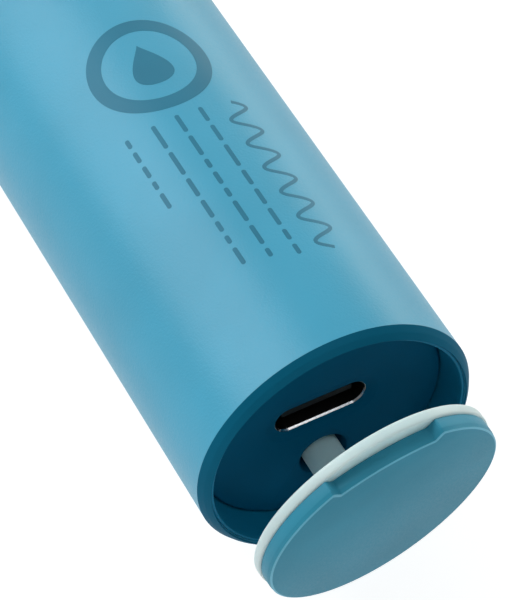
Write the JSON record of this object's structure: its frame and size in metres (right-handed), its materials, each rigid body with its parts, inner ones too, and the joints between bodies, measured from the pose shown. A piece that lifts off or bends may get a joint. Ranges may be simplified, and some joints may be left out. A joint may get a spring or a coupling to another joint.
{
  "type": "electric toothbrush",
  "caption": "Slim cylindrical sonic toothbrush with a soft-touch handle, a tethered end cap over a charging socket in its base, and a removable brush head.",
  "frame": {"origin": "centre of the rim at the base of the handle, on the handle's axis", "axes": "+X along the handle from its base to the brush head, +Z the back of the handle, which faces up as it lies on its front and its bristles, +Y completes the right-handed frame"},
  "size_m": [0.2598, 0.0256, 0.0256],
  "materials": {
    "soft_touch_blue": "fine soft-touch grain",
    "liner_blue": "satin",
    "port_blue": "satin",
    "socket_steel": "bright",
    "socket_black": "matte",
    "contact_gold": "plated",
    "board_green": "solder mask",
    "chip_black": "matte",
    "chassis_white": "moulded",
    "cell_steel": "plated",
    "cell_wrap": "shrink film",
    "led_white": "gloss",
    "window_clear": "clear",
    "seal_milky": "translucent silicone",
    "seal_black": "matte",
    "button_blue": "satin",
    "motor_steel": "plated",
    "core_dark": "laminated",
    "copper_wire": "enamelled",
    "wire_red": "satin",
    "magnet_grey": "plated",
    "shaft_steel": "ground",
    "ring_white": "gloss",
    "head_white": "satin",
    "insert_grey": "moulded",
    "bristle_white": "fine filament",
    "bristle_blue": "fine filament",
    "cap_blue": "satin",
    "gasket_milky": "translucent silicone"
  },
  "bodies": {
    "handle": {"handle_shell": "soft_touch_blue", "base_sleeve": "liner_blue", "base_oring": "seal_black", "port_plate": "port_blue", "usb_shell": "socket_steel", "usb_insulator": "socket_black", "usb_contacts": "contact_gold", "charge_board": "board_green", "charge_chips": "chip_black", "chassis": "chassis_white", "battery_cell": "cell_steel", "battery_sleeve": "cell_wrap", "battery_tabs": "cell_steel", "main_board": "board_green", "board_chips": "chip_black", "mode_leds": "led_white", "light_windows": "window_clear", "switch_body": "chip_black", "button_seal": "seal_milky", "board_screws": "motor_steel", "wire_leads": "wire_red", "motor_can": "motor_steel", "motor_core": "core_dark", "motor_coils": "copper_wire", "motor_end_cap": "chip_black", "shaft_bearings": "copper_wire", "motor_dampers": "seal_black", "shaft_seal": "seal_milky", "nose_ring": "ring_white"},
    "power_button": {"power_button": "button_blue"},
    "switch_plunger": {"switch_plunger": "insert_grey"},
    "drive": {"drive_shaft": "shaft_steel", "rotor_yoke": "shaft_steel", "rotor_magnets": "magnet_grey"},
    "brush_head": {"head_sleeve": "head_white", "head_insert": "insert_grey", "head_clip": "cell_steel", "head_ring": "button_blue", "tufts_outer": "bristle_white", "tufts_inner": "bristle_blue"},
    "cap_tether": {"tether_shank": "gasket_milky", "tether_neck": "gasket_milky"},
    "end_cap": {"cap_disc": "cap_blue", "cap_gasket": "gasket_milky"}
  },
  "joints": [
    {"name": "button_press", "type": "slide", "parent": "handle", "child": "power_button", "axis": [0, 0, 1], "range_m": [0, 0.0004], "stiffness_N_per_m": 2500},
    {"name": "switch_click", "type": "slide", "parent": "handle", "child": "switch_plunger", "axis": [0, 0, 1], "range_m": [0, 0.0004]},
    {"name": "shaft_swing", "type": "hinge", "parent": "handle", "child": "drive", "pos_m": [0.17, 0, 0], "axis": [1, 0, 0], "range_deg": [-6, 6], "stiffness_Nm_per_rad": 0.05},
    {"name": "head_pull", "type": "slide", "parent": "drive", "child": "brush_head", "axis": [1, 0, 0], "range_m": [0, 0.03]},
    {"name": "cap_pull", "type": "slide", "parent": "handle", "child": "cap_tether", "axis": [1, 0, 0], "range_m": [-0.0015, 0.00624], "deforming": ["tether_neck"]},
    {"name": "cap_tilt", "type": "hinge", "parent": "cap_tether", "child": "end_cap", "pos_m": [0.0006, 0, -0.0051], "axis": [-0.304, -0.8714, 0.385], "range_deg": [-12.4, 3.1]}
  ],
  "couplings": [
    {"joint": "switch_click", "follows": "button_press", "ratio": 1},
    {"joint": "cap_tilt", "follows": "cap_pull", "rad_per_m": -34.403}
  ]
}
